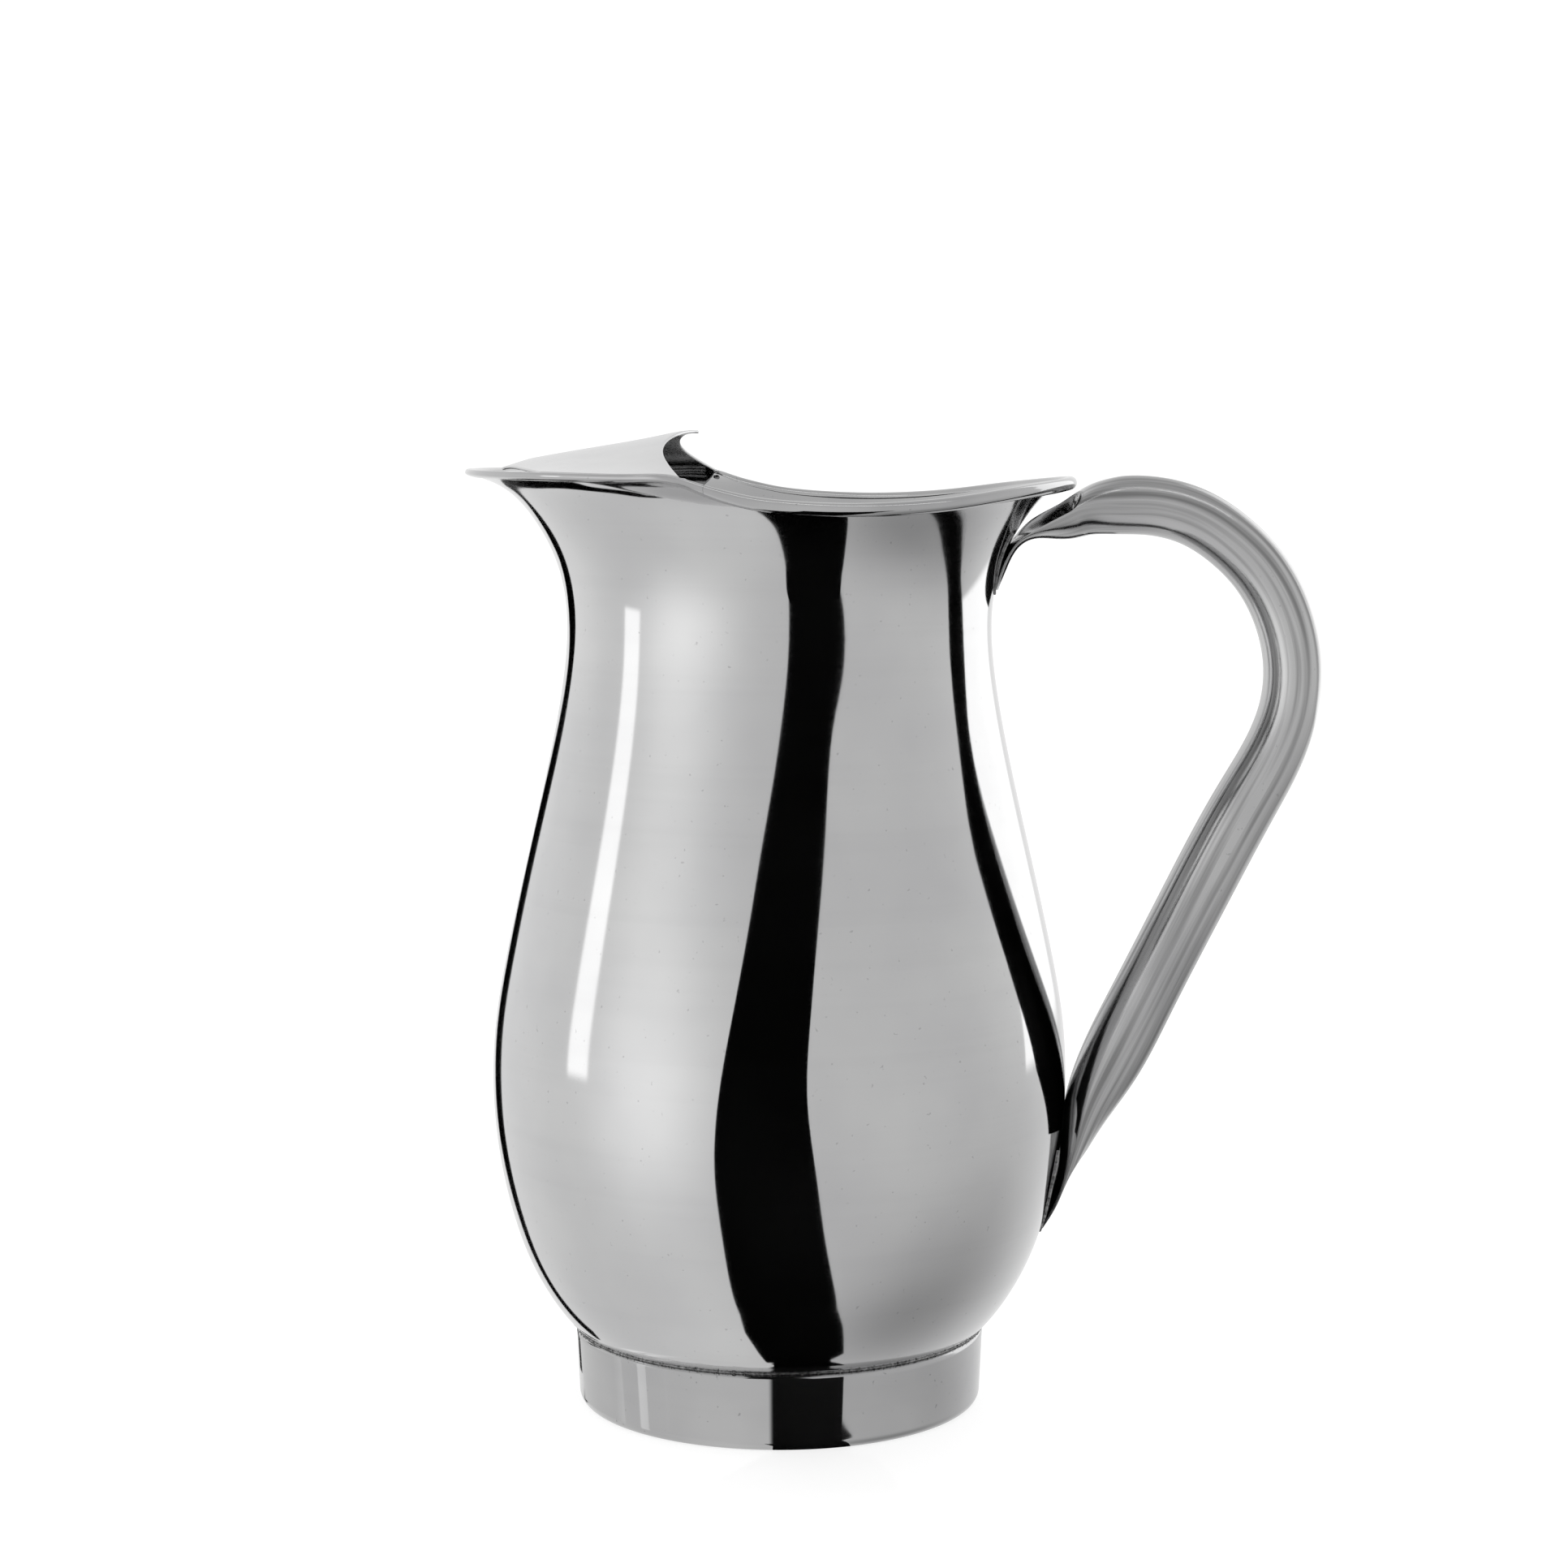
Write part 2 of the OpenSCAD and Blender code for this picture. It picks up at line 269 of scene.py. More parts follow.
def placeCamera():
    camera = bpy.data.objects.new("camera", bpy.data.cameras.new("camera"))
    bpy.context.scene.collection.objects.link(camera)
    camera.data.lens, camera.data.sensor_width = view["lens"], 36
    camera.data.clip_start, camera.data.clip_end = 0.01, 100
    camera.location = studio(view["aside"], -view["distance"], view["height"])
    camera.rotation_euler = (math.radians(90 - view["tilt"]), 0, math.radians(view["turn"]))
    bpy.context.scene.camera = camera


def glow(name, strength, soft, oneSided):  # a sheet that emits light, with soft edges if it has any
    material = bpy.data.materials.new(name)
    material.use_nodes = True
    graph = Graph(material.node_tree)
    light = graph.add("ShaderNodeEmission", None, {"Color": (1, 1, 1, 1), "Strength": strength})
    clear = graph.add("ShaderNodeBsdfTransparent")
    if oneSided:
        behind = graph.add("ShaderNodeNewGeometry", out=6)
        light = graph.add("ShaderNodeMixShader", None, {0: behind, 1: light, 2: clear})
    if not soft:
        graph.add("ShaderNodeOutputMaterial", None, {0: light})
        return material
    parts = graph.add("ShaderNodeSeparateXYZ", None, {0: graph.add("ShaderNodeTexCoord", out=2)})
    cover = 1.0
    for k, reach in enumerate(soft):
        at = Wire(graph, parts.socket.node.outputs[k])
        for edge in (at, 1 - at):
            cover = cover * graph.add("ShaderNodeMapRange", {"interpolation_type": "SMOOTHSTEP"},
                                      {"Value": edge, "From Max": max(reach, 0.001)})
    mixed = graph.add("ShaderNodeMixShader", None, {0: cover, 1: clear, 2: light})
    graph.add("ShaderNodeOutputMaterial", None, {0: mixed})
    return material


def card(name, rows, strength, soft=None, oneSided=False):
    # seen only in reflections; each row is a (left, right) pair of points
    verts = [studio(*point) for row in rows for point in row]
    faces = [(2 * i, 2 * i + 1, 2 * i + 3, 2 * i + 2) for i in range(len(rows) - 1)]
    mesh = bpy.data.meshes.new(name)
    mesh.from_pydata([tuple(v) for v in verts], [], faces)
    layer = mesh.uv_layers.new(name="span")
    for face in mesh.polygons:
        for loop, vertex in zip(face.loop_indices, face.vertices):
            layer.data[loop].uv = (vertex % 2, vertex // 2 / (len(rows) - 1))
    mesh.materials.append(glow(name, strength, soft, oneSided))
    board = bpy.data.objects.new(name, mesh)
    bpy.context.scene.collection.objects.link(board)
    board.visible_camera = board.visible_diffuse = board.visible_shadow = False
    board.visible_transmission = board.visible_volume_scatter = False


def flatRows(rows, up):  # rows of (towards the camera, left, right) in a level plane
    return [((left, -near, up), (right, -near, up)) for near, left, right in rows]


def standing(rows, near):  # rows of (height, left, right) in a plane facing the camera
    return [((left, -near, up), (right, -near, up)) for up, left, right in rows]


def curved(rows, near):  # the same with smooth sides
    return standing(smoothThrough(rows, 60), near)


def hugging(first, last, radius, low, high):  # a narrow card bent round the foot, by angle from the camera
    points = []
    for a in np.radians(np.linspace(first, last, 9)):
        x, y = radius * math.sin(a), -radius * math.cos(a)
        points.append(((x, y, low), (x, y, high)))
    return points


floorLook = {"half": 6.0, "colour": 0.42, "roughness": 0.7, "glow": 0.76}

# Each lobe of soft light is an azimuth from the camera, an elevation, a tightness and a gain
sky = {"base": 0.74, "lobes": [(-54, -4, 8, 0.48), (-125, 0, 5, 0.2), (135, 10, 6, 0.2), (180, 5, 3, 0.15),
                               (82, -58, 8, -0.3), (112, -36, 10, -0.16), (0, 90, 3, -0.12),
                               (-60, -75, 6, 0.12)]}

# Sheets that only reflections see, in mm. Strength 0 is a black flag, and soft fades the edges.
cards = {
    "darkFlag": {  # the broad dark stripe down the body
        "strength": 0, "rows": curved([
            (-6, -17, 28), (0, -17, 26), (13, -17.2, 22.5), (46, -17.7, 13.5), (66, -18.3, 9.8),
            (82, -17, 7.6), (104, -13.6, 9.1), (127, -9.5, 13.2), (144, -6.2, 17), (161, -1.6, 21),
            (173, 1.9, 26.6), (181, 4.4, 34), (200, 9, 45)], 74)},
    "flareFlag": {  # its upper end, under the rim
        "strength": 0, "rows": flatRows([
            (50, 2.4, 14.5), (56, 2, 18.5), (60.5, 2, 23), (63.5, 3.8, 26.6), (67, 6, 32.5),
            (72, 5.2, 37)], 190)},
    "brightPanel": {  # the white streak on the left
        "strength": 1.6, "soft": (0.15, 0.08), "rows": [
            ((-815, -6, 0), (-815, -188, 0)), ((-815, -6, 420), (-815, -188, 420))]},
    "leftFlag": {  # the thin dark line along the left side
        "strength": 0, "rows": curved([
            (-8, -64, -55), (8, -70, -62), (21, -76, -68.5), (59, -83, -74), (100, -79, -70),
            (140, -69, -59.5), (159, -66.5, -58), (177, -65, -56.5), (186, -66, -55.5),
            (192, -67, -58.3), (196, -67, -60.2), (200, -67, -61.3), (203, -67, -64),
            (209, -67.5, -66.5)], -10)},
    "seamFlag": {  # the dark stripe's lower end, over the seam and under the foot's edge
        "strength": 0, "rows": flatRows([
            (42, -1.5, 16), (47.5, -1.5, 16), (49.2, -4, 21), (58, -9, 23.5), (64, -13, 25),
            (74, -17, 26)], 0.3)},
    "rootFlag": {  # dark flanks of the neck and the handle's top end
        "strength": 0, "rows": standing([
            (184, 63, 80), (191, 56, 80), (196, 54, 66), (200, 54, 57), (206, 55, 58), (212, 57, 64)], -20)},
    "mouthFlag": {  # darkness under the guard, seen only from above
        "strength": 0, "oneSided": True, "rows": [((x, -half, up), (x, half, up)) for x, half, up in (
            (-12, 51, 203), (-38, 42, 209.8), (-48, 34, 212), (-58, 22, 215.3), (-65, 8, 217.2))]},
    "backPanel": {  # the bright right side
        "strength": 1.55, "soft": (0.04, 0.06), "rows": [
            ((290, 500, 10), (1240, 500, -100)), ((290, 500, 800), (1240, 500, 800))]},
    "overhead": {
        "strength": 2.2, "rows": [
            ((-700, -230, 900), (700, -230, 900)), ((-700, -180, 900), (700, -180, 900))]},
    "footFlag": {"strength": 0, "rows": hugging(-1.6, 18, 49.1, 0.4, 17.8)},
    "footFill": {"strength": 0.8, "soft": (0, 0.02), "rows": hugging(-83, -1.6, 49.2, 0.4, 17.8)},
    "footStreak": {"strength": 1.1, "soft": (0, 0.5), "rows": hugging(-56, -32, 49.1, 0.4, 17.8)},
    "footEdge": {"strength": 0, "rows": hugging(-90, -84, 49.1, 6, 17.8)}}


def buildWorld():
    world = bpy.data.worlds.new("studio")
    world.use_nodes = True
    graph = Graph(world.node_tree)
    aim = graph.add("ShaderNodeTexCoord")
    level = sky["base"]
    for azimuth, elevation, tight, gain in sky["lobes"]:
        a, e = math.radians(azimuth), math.radians(elevation)
        axis = studio(math.sin(a) * math.cos(e), -math.cos(a) * math.cos(e), math.sin(e)) / mm
        lobe = graph.add("ShaderNodeVectorMath", {"operation": "DOT_PRODUCT"},
                         {0: aim, 1: tuple(axis)}, out=1)
        level = level + graph.math("MAXIMUM", lobe, 0.0) ** tight * gain
    light = graph.add("ShaderNodeBackground", None,
                      {"Color": (1, 1, 1, 1), "Strength": graph.math("MAXIMUM", level, 0.02)})
    blank = graph.add("ShaderNodeBackground", None, {"Color": (1, 1, 1, 1), "Strength": 1.1})
    direct = graph.add("ShaderNodeLightPath")
    both = graph.add("ShaderNodeMixShader", None, {0: direct, 1: light, 2: blank})
    graph.add("ShaderNodeOutputWorld", None, {0: both})
    bpy.context.scene.world = world


def buildFloor():
    paper = bpy.data.materials.new("paper")
    paper.use_nodes = True
    graph = Graph(paper.node_tree)
    level = floorLook["colour"]
    plain = graph.add("ShaderNodeBsdfPrincipled", None,
                      {"Base Color": (level, level, level, 1), "Roughness": floorLook["roughness"],
                       "Emission Color": (1, 1, 1, 1), "Emission Strength": floorLook["glow"]})
    clear = graph.add("ShaderNodeBsdfTransparent")
    mirrored = graph.add("ShaderNodeLightPath", out=3)
    both = graph.add("ShaderNodeMixShader", None, {0: mirrored, 1: plain, 2: clear})
    graph.add("ShaderNodeOutputMaterial", None, {0: both})
    half = floorLook["half"]
    mesh = bpy.data.meshes.new("floor")
    corners = [(-half, -half, 0), (half, -half, 0), (half, half, 0), (-half, half, 0)]
    mesh.from_pydata(corners, [], [(0, 1, 2, 3)])
    mesh.materials.append(paper)
    floor = bpy.data.objects.new("floor", mesh)
    bpy.context.scene.collection.objects.link(floor)


def buildStudio():
    buildWorld()
    buildFloor()
    for name, look in cards.items():
        card(name, **look)
    bpy.context.scene.view_settings.view_transform = "Standard"


placeCamera()
buildStudio()
print("scene: camera and studio ready")


# Metal

def polishedMetal(name, look):  # polished sheet with haze, fine rubbing, turning lines, faint waves, pits and painted reflection stripes, dark lines painted into the colour
    material = bpy.data.materials.new(name)
    material.use_nodes = True
    graph = Graph(material.node_tree)
    place = graph.add("ShaderNodeTexCoord", out=3)
    flow = place
    if look.get("drawn"):
        flow = graph.add("ShaderNodeAttribute", {"attribute_name": "grain"}, out=1)

    def cloud(scale, detail, stretch=(1, 1, 1), contrast=None, along=place):
        spread = graph.add("ShaderNodeMapping", None, {"Vector": along, "Scale": stretch})
        level = graph.add("ShaderNodeTexNoise", None, {"Vector": spread, "Scale": scale, "Detail": detail})
        if contrast is None:
            return level
        return graph.add("ShaderNodeValToRGB", {"stops": contrast}, {0: level})

    haze = cloud(look["hazeScale"], 3, contrast=[(0.35, 0), (0.68, 1)])
    rubbed = cloud(900, 2, stretch=look["rubDirection"], contrast=[(0.52, 0), (0.75, 1)])
    turned = cloud(1, 4, stretch=look["turnLines"], along=flow)
    # painted reflection: dark lengthwise stripes in the colour stand in for dark studio stripes mirrored in
    # the metal
    paintedReflectionStripes = cloud(1, 3, stretch=look["paintedStripeLines"], contrast=look["paintedStripeStops"], along=flow)
    pits = cloud(look["pitScale"], 1, contrast=[(0.2, 1), (0.27, 0)])
    waves = cloud(look["waveScale"], 1)

    dark, light = look["dark"], look["light"]
    tone = graph.add("ShaderNodeMix", {"data_type": "RGBA"},
                     {0: haze, 6: (light, light, light, 1), 7: (dark, dark, dark * 1.01, 1)}, out=2)
    # the colour is darkened to a dark grey in the pits and in the painted reflection stripes
    pitsAndPaintedStripes = graph.add("ShaderNodeMix", {"data_type": "RGBA"},
                        {0: graph.math("MAXIMUM", pits * look["pitDepth"], paintedReflectionStripes * look["paintedStripeDepth"]),
                         6: tone, 7: (0.12, 0.12, 0.12, 1)}, out=2)
    rough = look["rough"] + haze * look["hazeRough"] + rubbed * look["rubRough"] + turned * look["turnRough"]
    height = waves * look["waveHeight"] + turned * look["turnHeight"] + rubbed * look["rubHeight"] \
        - pits * look["pitHeight"]
    bump = graph.add("ShaderNodeBump", None, {"Strength": 1.0, "Distance": 0.001, "Height": height})
    shine = graph.add("ShaderNodeBsdfPrincipled", None,
                      {"Base Color": pitsAndPaintedStripes, "Metallic": 1.0, "Roughness": rough, "Normal": bump})
    graph.add("ShaderNodeOutputMaterial", None, {0: shine})
    return material


# dark and light are the greys of the haze; turn lines and the painted reflection stripes follow the lathe, or
# the length of the tube if drawn
bodyLook = {"dark": 0.56, "light": 0.62, "rough": 0.045, "hazeScale": 26, "hazeRough": 0.03,
            "rubDirection": (1, 1, 6), "rubRough": 0.03, "rubHeight": 0.0002,
            "turnLines": (8, 8, 900), "turnRough": 0.02, "turnHeight": 0.0003,
            "pitScale": 900, "pitDepth": 0.25, "pitHeight": 0.0008, "waveScale": 30, "waveHeight": 0.004,
            "paintedStripeLines": (6, 6, 260), "paintedStripeStops": [(0.5, 0), (0.75, 1)], "paintedStripeDepth": 0.03}
rimLook = dict(bodyLook, light=0.57, dark=0.45, rough=0.06, waveScale=90, waveHeight=0.003)
guardLook = dict(bodyLook, rough=0.12, hazeRough=0.05, waveScale=40, waveHeight=0.003)
# the handle's colour has deep painted reflection stripes: dark lengthwise lines painted where the polished
# tube reflects dark stripes
handleLook = dict(bodyLook, drawn=True, light=0.56, dark=0.47, rough=0.09, turnLines=(40, 40, 1.5),
                  turnHeight=0.012, turnRough=0.08, paintedStripeLines=(3.4, 3.4, 0.35),
                  paintedStripeStops=[(0.42, 0), (0.66, 1)], paintedStripeDepth=0.7, waveScale=70, waveHeight=0.01)
footLook = dict(bodyLook, light=0.52, dark=0.44, rough=0.1, hazeRough=0.06, pitScale=800, pitDepth=0.4,
                pitHeight=0.003)
solderLook = dict(bodyLook, light=0.4, dark=0.12, rough=0.5, hazeRough=0.2, hazeScale=1500, rubHeight=0.004,
                  waveScale=2600, waveHeight=0.08)

bodyMetal = polishedMetal("body_metal", bodyLook)
rimMetal = polishedMetal("rim_metal", rimLook)
guardMetal = polishedMetal("guard_metal", guardLook)
handleMetal = polishedMetal("handle_metal", handleLook)
footMetal = polishedMetal("foot_metal", footLook)
solderMetal = polishedMetal("solder_metal", solderLook)
print("scene: metals ready")


# The body: a turned outline whose mouth is cut to a saddle

bodyLow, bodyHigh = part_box("body_shell")
footLow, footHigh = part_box("foot_ring")

body = {
    "bellyRadius": (bodyHigh.y - bodyLow.y) / 2 / mm, "bellyHeight": 77,
    "neckRadius": 49, "neckHeight": 182, "seamRadius": 47.4, "seamHeight": 17.8,
    "mouthRadius": 73, "mouthHeight": 217.8,
    "bottom": bodyLow.z / mm, "wall": 0.8, "segments": 256, "lowRows": 140, "flareRows": 45,
    "samples": 1200, "softness": 14, "poleRows": 60,
    "pan": [(12, 0.1), (24, 0.7), (38, 4.2)],  # radius and rise of the hidden bottom
    "bowl": [(0.276, 0.106), (0.592, 0.291), (0.786, 0.479), (0.913, 0.667), (0.985, 0.86)],
    "bell": [(0.956, 0.134), (0.822, 0.268), (0.611, 0.434), (0.395, 0.594), (0.189, 0.756), (0.05, 0.895)],
    "flare": [(0.047, 0.313), (0.123, 0.473), (0.243, 0.632), (0.374, 0.761), (0.502, 0.858), (0.63, 0.92),
              (0.809, 0.966)],
    "cut": [(-90, 217.4), (-69.6, 216.8), (-45, 216.5), (-27, 216.3), (-19, 215.9), (-13, 213.7),
            (-8, 212.4), (-2, 211.2), (6, 210.3), (17, 209.8), (29, 210.1), (41, 211.3), (52, 213.1),
            (60, 214.35), (66, 215.4), (90, 220)]}


def share(pairs, r0, z0, r1, z1):
    return [(r0 + (r1 - r0) * a, z0 + (z1 - z0) * b) for a, b in pairs]


def bodyOutline():  # [radius, height] in mm, evenly spaced, from the centre of the bottom to the mouth
    b = body
    stations = [(0, b["bottom"])] + [(r, b["bottom"] + rise) for r, rise in b["pan"]]
    stations += [(b["seamRadius"], b["seamHeight"])]
    stations += share(b["bowl"], b["seamRadius"], b["seamHeight"], b["bellyRadius"], b["bellyHeight"])
    stations += [(b["bellyRadius"], b["bellyHeight"])]
    stations += [(b["neckRadius"] + (b["bellyRadius"] - b["neckRadius"]) * out,
                  b["bellyHeight"] + (b["neckHeight"] - b["bellyHeight"]) * up) for out, up in b["bell"]]
    stations += [(b["neckRadius"], b["neckHeight"])]
    stations += share(b["flare"], b["neckRadius"], b["neckHeight"], b["mouthRadius"], b["mouthHeight"])
    stations += [(b["mouthRadius"], b["mouthHeight"])]
    line = smoothThrough(stations, b["samples"])
    soft = softened(line, b["softness"])
    blend = ease(np.arange(b["samples"]) / b["poleRows"])[:, None]  # the pole stays on the axis
    return line * (1 - blend) + soft * blend


outline = bodyOutline()
outlineDir = directions(outline)
aboveBelly = outline[:, 1] > 150
neckRow = int(np.argmin(np.where(aboveBelly, outline[:, 0], 999)))
aboveBottom = outline[300:]  # from here on the height always rises
cutLine = softened(smoothThrough(body["cut"], 600), 5)


def cutHeight(x):
    return np.interp(x, cutLine[:, 0], cutLine[:, 1])


def flareRadius(z):
    return np.interp(z, outline[neckRow:, 1], outline[neckRow:, 0])


def radiusAt(z):  # outside radius of the body at any height above its seam
    return np.interp(z, aboveBottom[:, 1], aboveBottom[:, 0])


def edgeRow(angle):  # row of the outline at which the sheet is cut, as a fraction, for each angle
    r = np.full_like(angle, 62.0)  # a first guess in mm, refined by each pass
    for _ in range(40):
        r = flareRadius(cutHeight(r * np.cos(angle)))
    return np.interp(r, outline[neckRow:, 0], np.arange(neckRow, len(outline)))


def rowsAt(rows):  # outline point and direction at fractional rows
    index = np.arange(len(outline))
    point = np.stack([np.interp(rows, index, outline[:, k]) for k in (0, 1)], -1)
    along = np.stack([np.interp(rows, index, outlineDir[:, k]) for k in (0, 1)], -1)
    return point, along / np.linalg.norm(along, axis=-1)[..., None]


def around(radius, height, angle):
    return np.stack([radius * np.cos(angle), radius * np.sin(angle), height + 0 * angle], -1) * mm


def buildBody():
    n = body["segments"]
    angle = np.linspace(0, 2 * np.pi, n, endpoint=False)
    edge = edgeRow(angle)
    low = np.linspace(8, neckRow, body["lowRows"])
    high = np.linspace(0, 1, body["flareRows"])[1:]
    rings = []
    for side in (0, 1):
        inward = body["wall"] * side
        walls = [rowsAt(np.full(n, row)) for row in low]
        walls += [rowsAt(neckRow + (edge - neckRow) * t) for t in high]
        rows = []
        for point, along in walls:
            radius, height = point[:, 0] - inward * along[:, 1], point[:, 1] + inward * along[:, 0]
            rows.append(around(radius, height, angle))
        rings += rows if side == 0 else rows[::-1]
    count = len(rings)
    verts = np.array(rings).reshape(-1, 3).tolist()
    faces = ringFaces(count, n)
    for row, z in ((0, outline[0, 1]), (count - 1, outline[0, 1] + body["wall"])):  # close both poles
        verts.append((0, 0, z * mm))
        loop = [row * n + j for j in range(n)]
        faces += [[loop[(j + 1) % n], loop[j], len(verts) - 1] if row == 0 else
                  [loop[j], loop[(j + 1) % n], len(verts) - 1] for j in range(n)]
    piece = meshOf("pitcher_body", verts, faces, bodyMetal)
    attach(piece, "root")
    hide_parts("body_shell")
    return piece


buildBody()
print("scene: body ready")


# The rim: a rolled wire round the back and a flattened hem along the spout

rim = {"wire": 1.5, "hemThick": 0.75, "hemWide": 1.5, "drop": 1, "sides": 28,
       "round": 92, "joint": 102, "flat": 110,  # degrees from the handle: last of the wire, joint, full hem
       "gap": 0.04, "wireSteps": 260, "hemSteps": 220}


def rimRing(degrees):
    angle = np.radians(np.array([degrees]))
    point, along = rowsAt(edgeRow(angle))
    point, along = point[0], along[0]
    up = np.array([-along[1], along[0]])
    turned = min(degrees % 360, 360 - degrees % 360)
    flat = float(ease((turned - rim["round"]) / (rim["flat"] - rim["round"])))
    wide = rim["wire"] + (rim["hemWide"] - rim["wire"]) * flat
    thick = rim["wire"] + (rim["hemThick"] - rim["wire"]) * flat
    w = np.linspace(0, 2 * np.pi, rim["sides"], endpoint=False)
    power = 1 - 0.35 * flat  # the hem is squarer than the wire
    c, s = np.cos(w), np.sin(w)
    c, s = np.sign(c) * abs(c) ** power, np.sign(s) * abs(s) ** power
    drop = rim["drop"] * (1 - flat)
    reach = math.sqrt(wide * wide - max(0, drop - body["wall"] / 2) ** 2)
    middle = point + along * reach * 0.97 + up * (body["wall"] / 2 - drop)
    ring = middle + np.outer(wide * c, along) + np.outer(thick * s, up)
    return around(ring[:, 0], ring[:, 1], np.full(rim["sides"], angle[0]))


def buildRim():
    joint, start = rim["joint"], rim["joint"] + rim["gap"]
    wireRings = [rimRing(a) for a in np.linspace(-joint, joint, rim["wireSteps"])]
    hemRings = [rimRing(a) for a in np.linspace(start, 360 - start, rim["hemSteps"])]
    wire = sweptRings("rolled_rim", wireRings, rimMetal)
    hem = sweptRings("spout_hem", hemRings, rimMetal)
    for piece, node in ((wire, "rim_wire"), (hem, "lip_hem")):
        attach(piece, "root")
        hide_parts(node)


buildRim()
print("scene: rim ready")


# The ice guard

guard = {"rise": 9.6, "scallop": 6.2, "wall": 0.7, "corner": -19, "front": -64, "shoulder": -50,
         "ridge": 0.188, "nose": 0.35, "inset": 0.6, "lift": 0.75, "edge": 0.28, "rows": 60, "columns": 120}


def guardHalf(x):
    r = flareRadius(cutHeight(x)) + rim["hemWide"] - guard["inset"]
    return np.sqrt(np.maximum(1, r * r - x * x))


def guardBase(x):
    return cutHeight(x) + body["wall"] / 2 + rim["hemThick"] + guard["lift"]


def guardPoint(u, v):
    front = guard["front"] + (guard["shoulder"] - guard["front"]) * abs(v) ** 2.2
    back = guard["corner"] + 0.5 - guard["scallop"] * np.sin(np.pi * abs(v) ** 0.8)
    x = front + (back - front) * u
    ridge = guard["rise"] + guard["ridge"] * (x - guard["corner"])
    nose = 0.1 + guard["nose"] * (x - guard["front"])
    blend = 0.5 * (ridge + nose - np.sqrt((ridge - nose) ** 2 + 0.03))  # a soft kink where they meet
    arch = 0.5 * np.cos(np.pi / 2 * v) + 0.25 * (1 + np.cos(np.pi * v))
    return np.stack([x, guardHalf(x) * v, guardBase(x) + blend * arch], -1) * mm


def buildGuard():
    rows, columns = guard["rows"], guard["columns"]
    u, v = np.meshgrid(np.linspace(0, 1, rows + 1), np.linspace(-1, 1, columns + 1), indexing="ij")
    verts = guardPoint(u, v).reshape(-1, 3)
    faces = [(i * (columns + 1) + j, (i + 1) * (columns + 1) + j, (i + 1) * (columns + 1) + j + 1,
              i * (columns + 1) + j + 1) for i in range(rows) for j in range(columns)]
    mesh = bpy.data.meshes.new("guard")
    mesh.from_pydata([tuple(p) for p in verts], [], faces)
    mesh.materials.append(guardMetal)
    piece = bpy.data.objects.new("ice_guard_sheet", mesh)
    bpy.context.scene.collection.objects.link(piece)
    mesh.polygons.foreach_set("use_smooth", [True] * len(mesh.polygons))
    if mesh.polygons[0].normal.z < 0:
        mesh.flip_normals()
    thick = piece.modifiers.new("thick", "SOLIDIFY")
    thick.thickness, thick.offset = guard["wall"] * mm, -1
    soft = piece.modifiers.new("soft", "BEVEL")
    soft.width, soft.segments = guard["edge"] * mm, 3
    soft.limit_method, soft.angle_limit = "ANGLE", math.radians(50)
    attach(piece, "root")
    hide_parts("ice_guard")


buildGuard()
print("scene: guard ready")


# The handle: one bent tube, pressed flat at both ends

handle = {  # x, height, depth on the inner side, half width, depth on the outer side
    "line": [(49.8, 191, 0.8, 5, 0.8), (51.6, 196.5, 1.1, 9, 1.1), (54, 201.2, 1.3, 11.2, 0.9),
             (57.4, 204.6, 2.5, 11.9, 0.9), (61.1, 206.9, 5, 12, 1.2), (65.3, 209, 7, 11.2, 1.5),
             (68.2, 210.2, 7.4, 10, 2.3), (71, 210.6, 7.3, 9, 4), (77, 210.2, 6.7, 7.6, 6.5),
             (86, 210, 6.8, 7.3, 6.8), (95.5, 207.4, 6.8, 7.3, 6.8), (103.6, 202.2, 6.8, 7.3, 6.8),
             (110.6, 195, 6.8, 7.3, 6.8), (115.9, 185.2, 6.8, 7.3, 6.8), (118.4, 174, 6.8, 7.3, 6.8),
             (117.6, 163, 6.9, 7.3, 6.9), (113.8, 152.4, 7.2, 7.3, 7.2), (108.2, 142, 7.5, 7.4, 7.5),
             (96.8, 120, 7.6, 7.4, 7.6), (84.4, 95, 7.6, 7.5, 7.6), (77, 80, 7.3, 7.8, 7.3),
             (72.2, 70, 5.6, 9.2, 5.6), (69.2, 61.5, 3.4, 10.8, 3.4), (67, 54.6, 2, 11.2, 2),
             (64.8, 48, 1.5, 9, 1.5), (61.8, 41.6, 0.9, 4.5, 0.9)],
    "rings": 520, "sides": 96,
    "scoopStart": 53, "scoopEnd": 68, "scoopRound": 3.2, "scoopDepth": 3.6,  # the dished top end
    "roll": 3, "rollFrom": 54, "rollTo": 78}


def handlePath(rings):
    path = smoothThrough(handle["line"], rings)
    path[:, 3] = np.maximum(path[:, 3], 0.5)
    return path, directions(path[:, :2])


